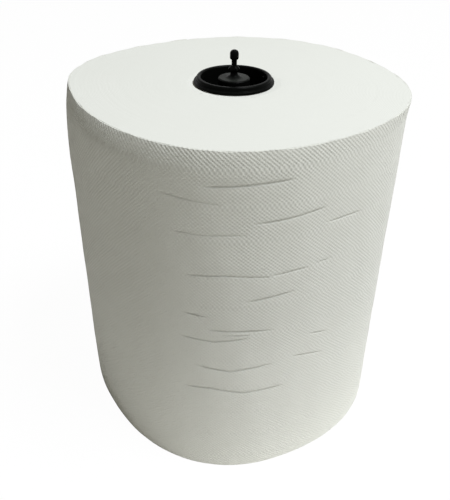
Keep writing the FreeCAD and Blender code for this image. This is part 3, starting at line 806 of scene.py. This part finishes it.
def make_camera():
    """The camera that was fitted to the roll's outline in the photo."""
    ahead = Vector((math.sin(YAW) * math.cos(PITCH), math.cos(YAW) * math.cos(PITCH), -math.sin(PITCH)))
    level = Vector((math.cos(YAW), -math.sin(YAW), 0))
    above = level.cross(ahead)
    right = level * math.cos(ROLL) + above * math.sin(ROLL)
    up = above * math.cos(ROLL) - level * math.sin(ROLL)
    lens = bpy.data.cameras.new("camera")
    lens.sensor_width = SENSOR
    lens.lens = FOCAL / PICTURE_HEIGHT * SENSOR
    camera = bpy.data.objects.new("camera", lens)
    bpy.context.scene.collection.objects.link(camera)
    turn = Matrix((right, up, -ahead)).transposed()
    eye = Matrix.Translation((OFF_CENTRE[0], OFF_CENTRE[1] - CAMERA_BACK, CAMERA_HEIGHT))
    camera.matrix_world = eye @ turn.to_4x4()
    bpy.context.scene.camera = camera


make_camera()

# The studio: a pale floor, white round about, a broad lamp high on the right, and three
# small weak ones near the floor, which stand in for the light that a white table throws up.

FLOOR_SIZE = 6

bpy.context.scene.view_settings.view_transform = "Standard"


def add_lamp(name, place, aim, size, power, colour):
    """A square lamp at a place, turned towards a point."""
    lamp = bpy.data.lights.new(name, "AREA")
    lamp.size = size
    lamp.energy = power
    lamp.color = linear(colour)[:3]
    thing = bpy.data.objects.new(name, lamp)
    thing.location = place
    thing.rotation_euler = (Vector(aim) - Vector(place)).to_track_quat("-Z", "Y").to_euler()
    bpy.context.scene.collection.objects.link(thing)


def backdrop_ray(material):
    """1 for the rays that show the background: the camera's, mirrored ones and ones through glass."""
    path = add_node(material, "ShaderNodeLightPath")
    shown = path.outputs["Is Camera Ray"]
    for kind in ("Is Glossy Ray", "Is Transmission Ray"):
        shown = add_node(material, "ShaderNodeMath", {
            0: shown, 1: path.outputs[kind]}, operation="MAXIMUM").outputs[0]
    return shown


def white_round_about():
    """A world that is white to the camera and dimmer as a light."""
    world = bpy.data.worlds.new("studio")
    bpy.context.scene.world = world
    world.use_nodes = True
    world.node_tree.nodes.clear()
    glow = add_node(world, "ShaderNodeBackground", {"Color": linear("#FFF7D8"), "Strength": 0.086})
    white = add_node(world, "ShaderNodeBackground", {"Color": linear("#FDFDFD"), "Strength": 1.0})
    mix = add_node(world, "ShaderNodeMixShader", {
        0: backdrop_ray(world), 1: glow.outputs[0], 2: white.outputs[0]})
    output = world.node_tree.nodes.new("ShaderNodeOutputWorld")
    world.node_tree.links.new(mix.outputs[0], output.inputs["Surface"])


def make_floor():
    """A wide plain floor that shows white to the camera, apart from the roll's own shadow."""
    bpy.ops.object.select_all(action="DESELECT")
    bpy.ops.mesh.primitive_plane_add(size=FLOOR_SIZE, location=(0, 0, 0))
    floor = bpy.context.object
    floor.name = "floor"
    material, output = new_material("studio_paper_plain")
    path = add_node(material, "ShaderNodeLightPath")
    paper = add_node(material, "ShaderNodeBsdfDiffuse", {"Color": linear("#EFEDE7")})
    shade = add_node(material, "ShaderNodeBsdfDiffuse", {"Color": linear("#333333")})
    white = add_node(material, "ShaderNodeEmission", {"Color": linear("#FFFFFF"), "Strength": 0.975})
    seen = add_node(material, "ShaderNodeAddShader", {0: shade.outputs[0], 1: white.outputs[0]})
    above = add_node(material, "ShaderNodeMixShader", {
        0: backdrop_ray(material), 1: paper.outputs[0], 2: seen.outputs[0]})
    # Seen from below it is clear, and then it also lets the light through to the roll's foot.
    side = add_node(material, "ShaderNodeNewGeometry")
    below = add_node(material, "ShaderNodeMath", {
        0: side.outputs["Backfacing"], 1: path.outputs["Transparent Depth"]},
        operation="ADD", use_clamp=True)
    clear = add_node(material, "ShaderNodeBsdfTransparent")
    shader = add_node(material, "ShaderNodeMixShader", {
        0: below.outputs[0], 1: above.outputs[0], 2: clear.outputs[0]})
    finish_material(material, output, shader)
    floor.data.materials.append(material)


white_round_about()
make_floor()
add_lamp("key lamp", (0.87, -0.34, 2.1), (0, 0, 0.1), 0.8, 47, "#F8FCFF")
add_lamp("low front lamp", (0.08, -0.24, 0.005), (0, 0, 0.01), 0.2, 0.08, "#F6F8FF")
add_lamp("low right lamp", (0.28, -0.05, 0.005), (0, 0, 0.01), 0.2, 0.06, "#F6F8FF")
add_lamp("low left lamp", (-0.28, -0.05, 0.005), (0, 0, 0.01), 0.2, 0.028, "#F6F8FF")
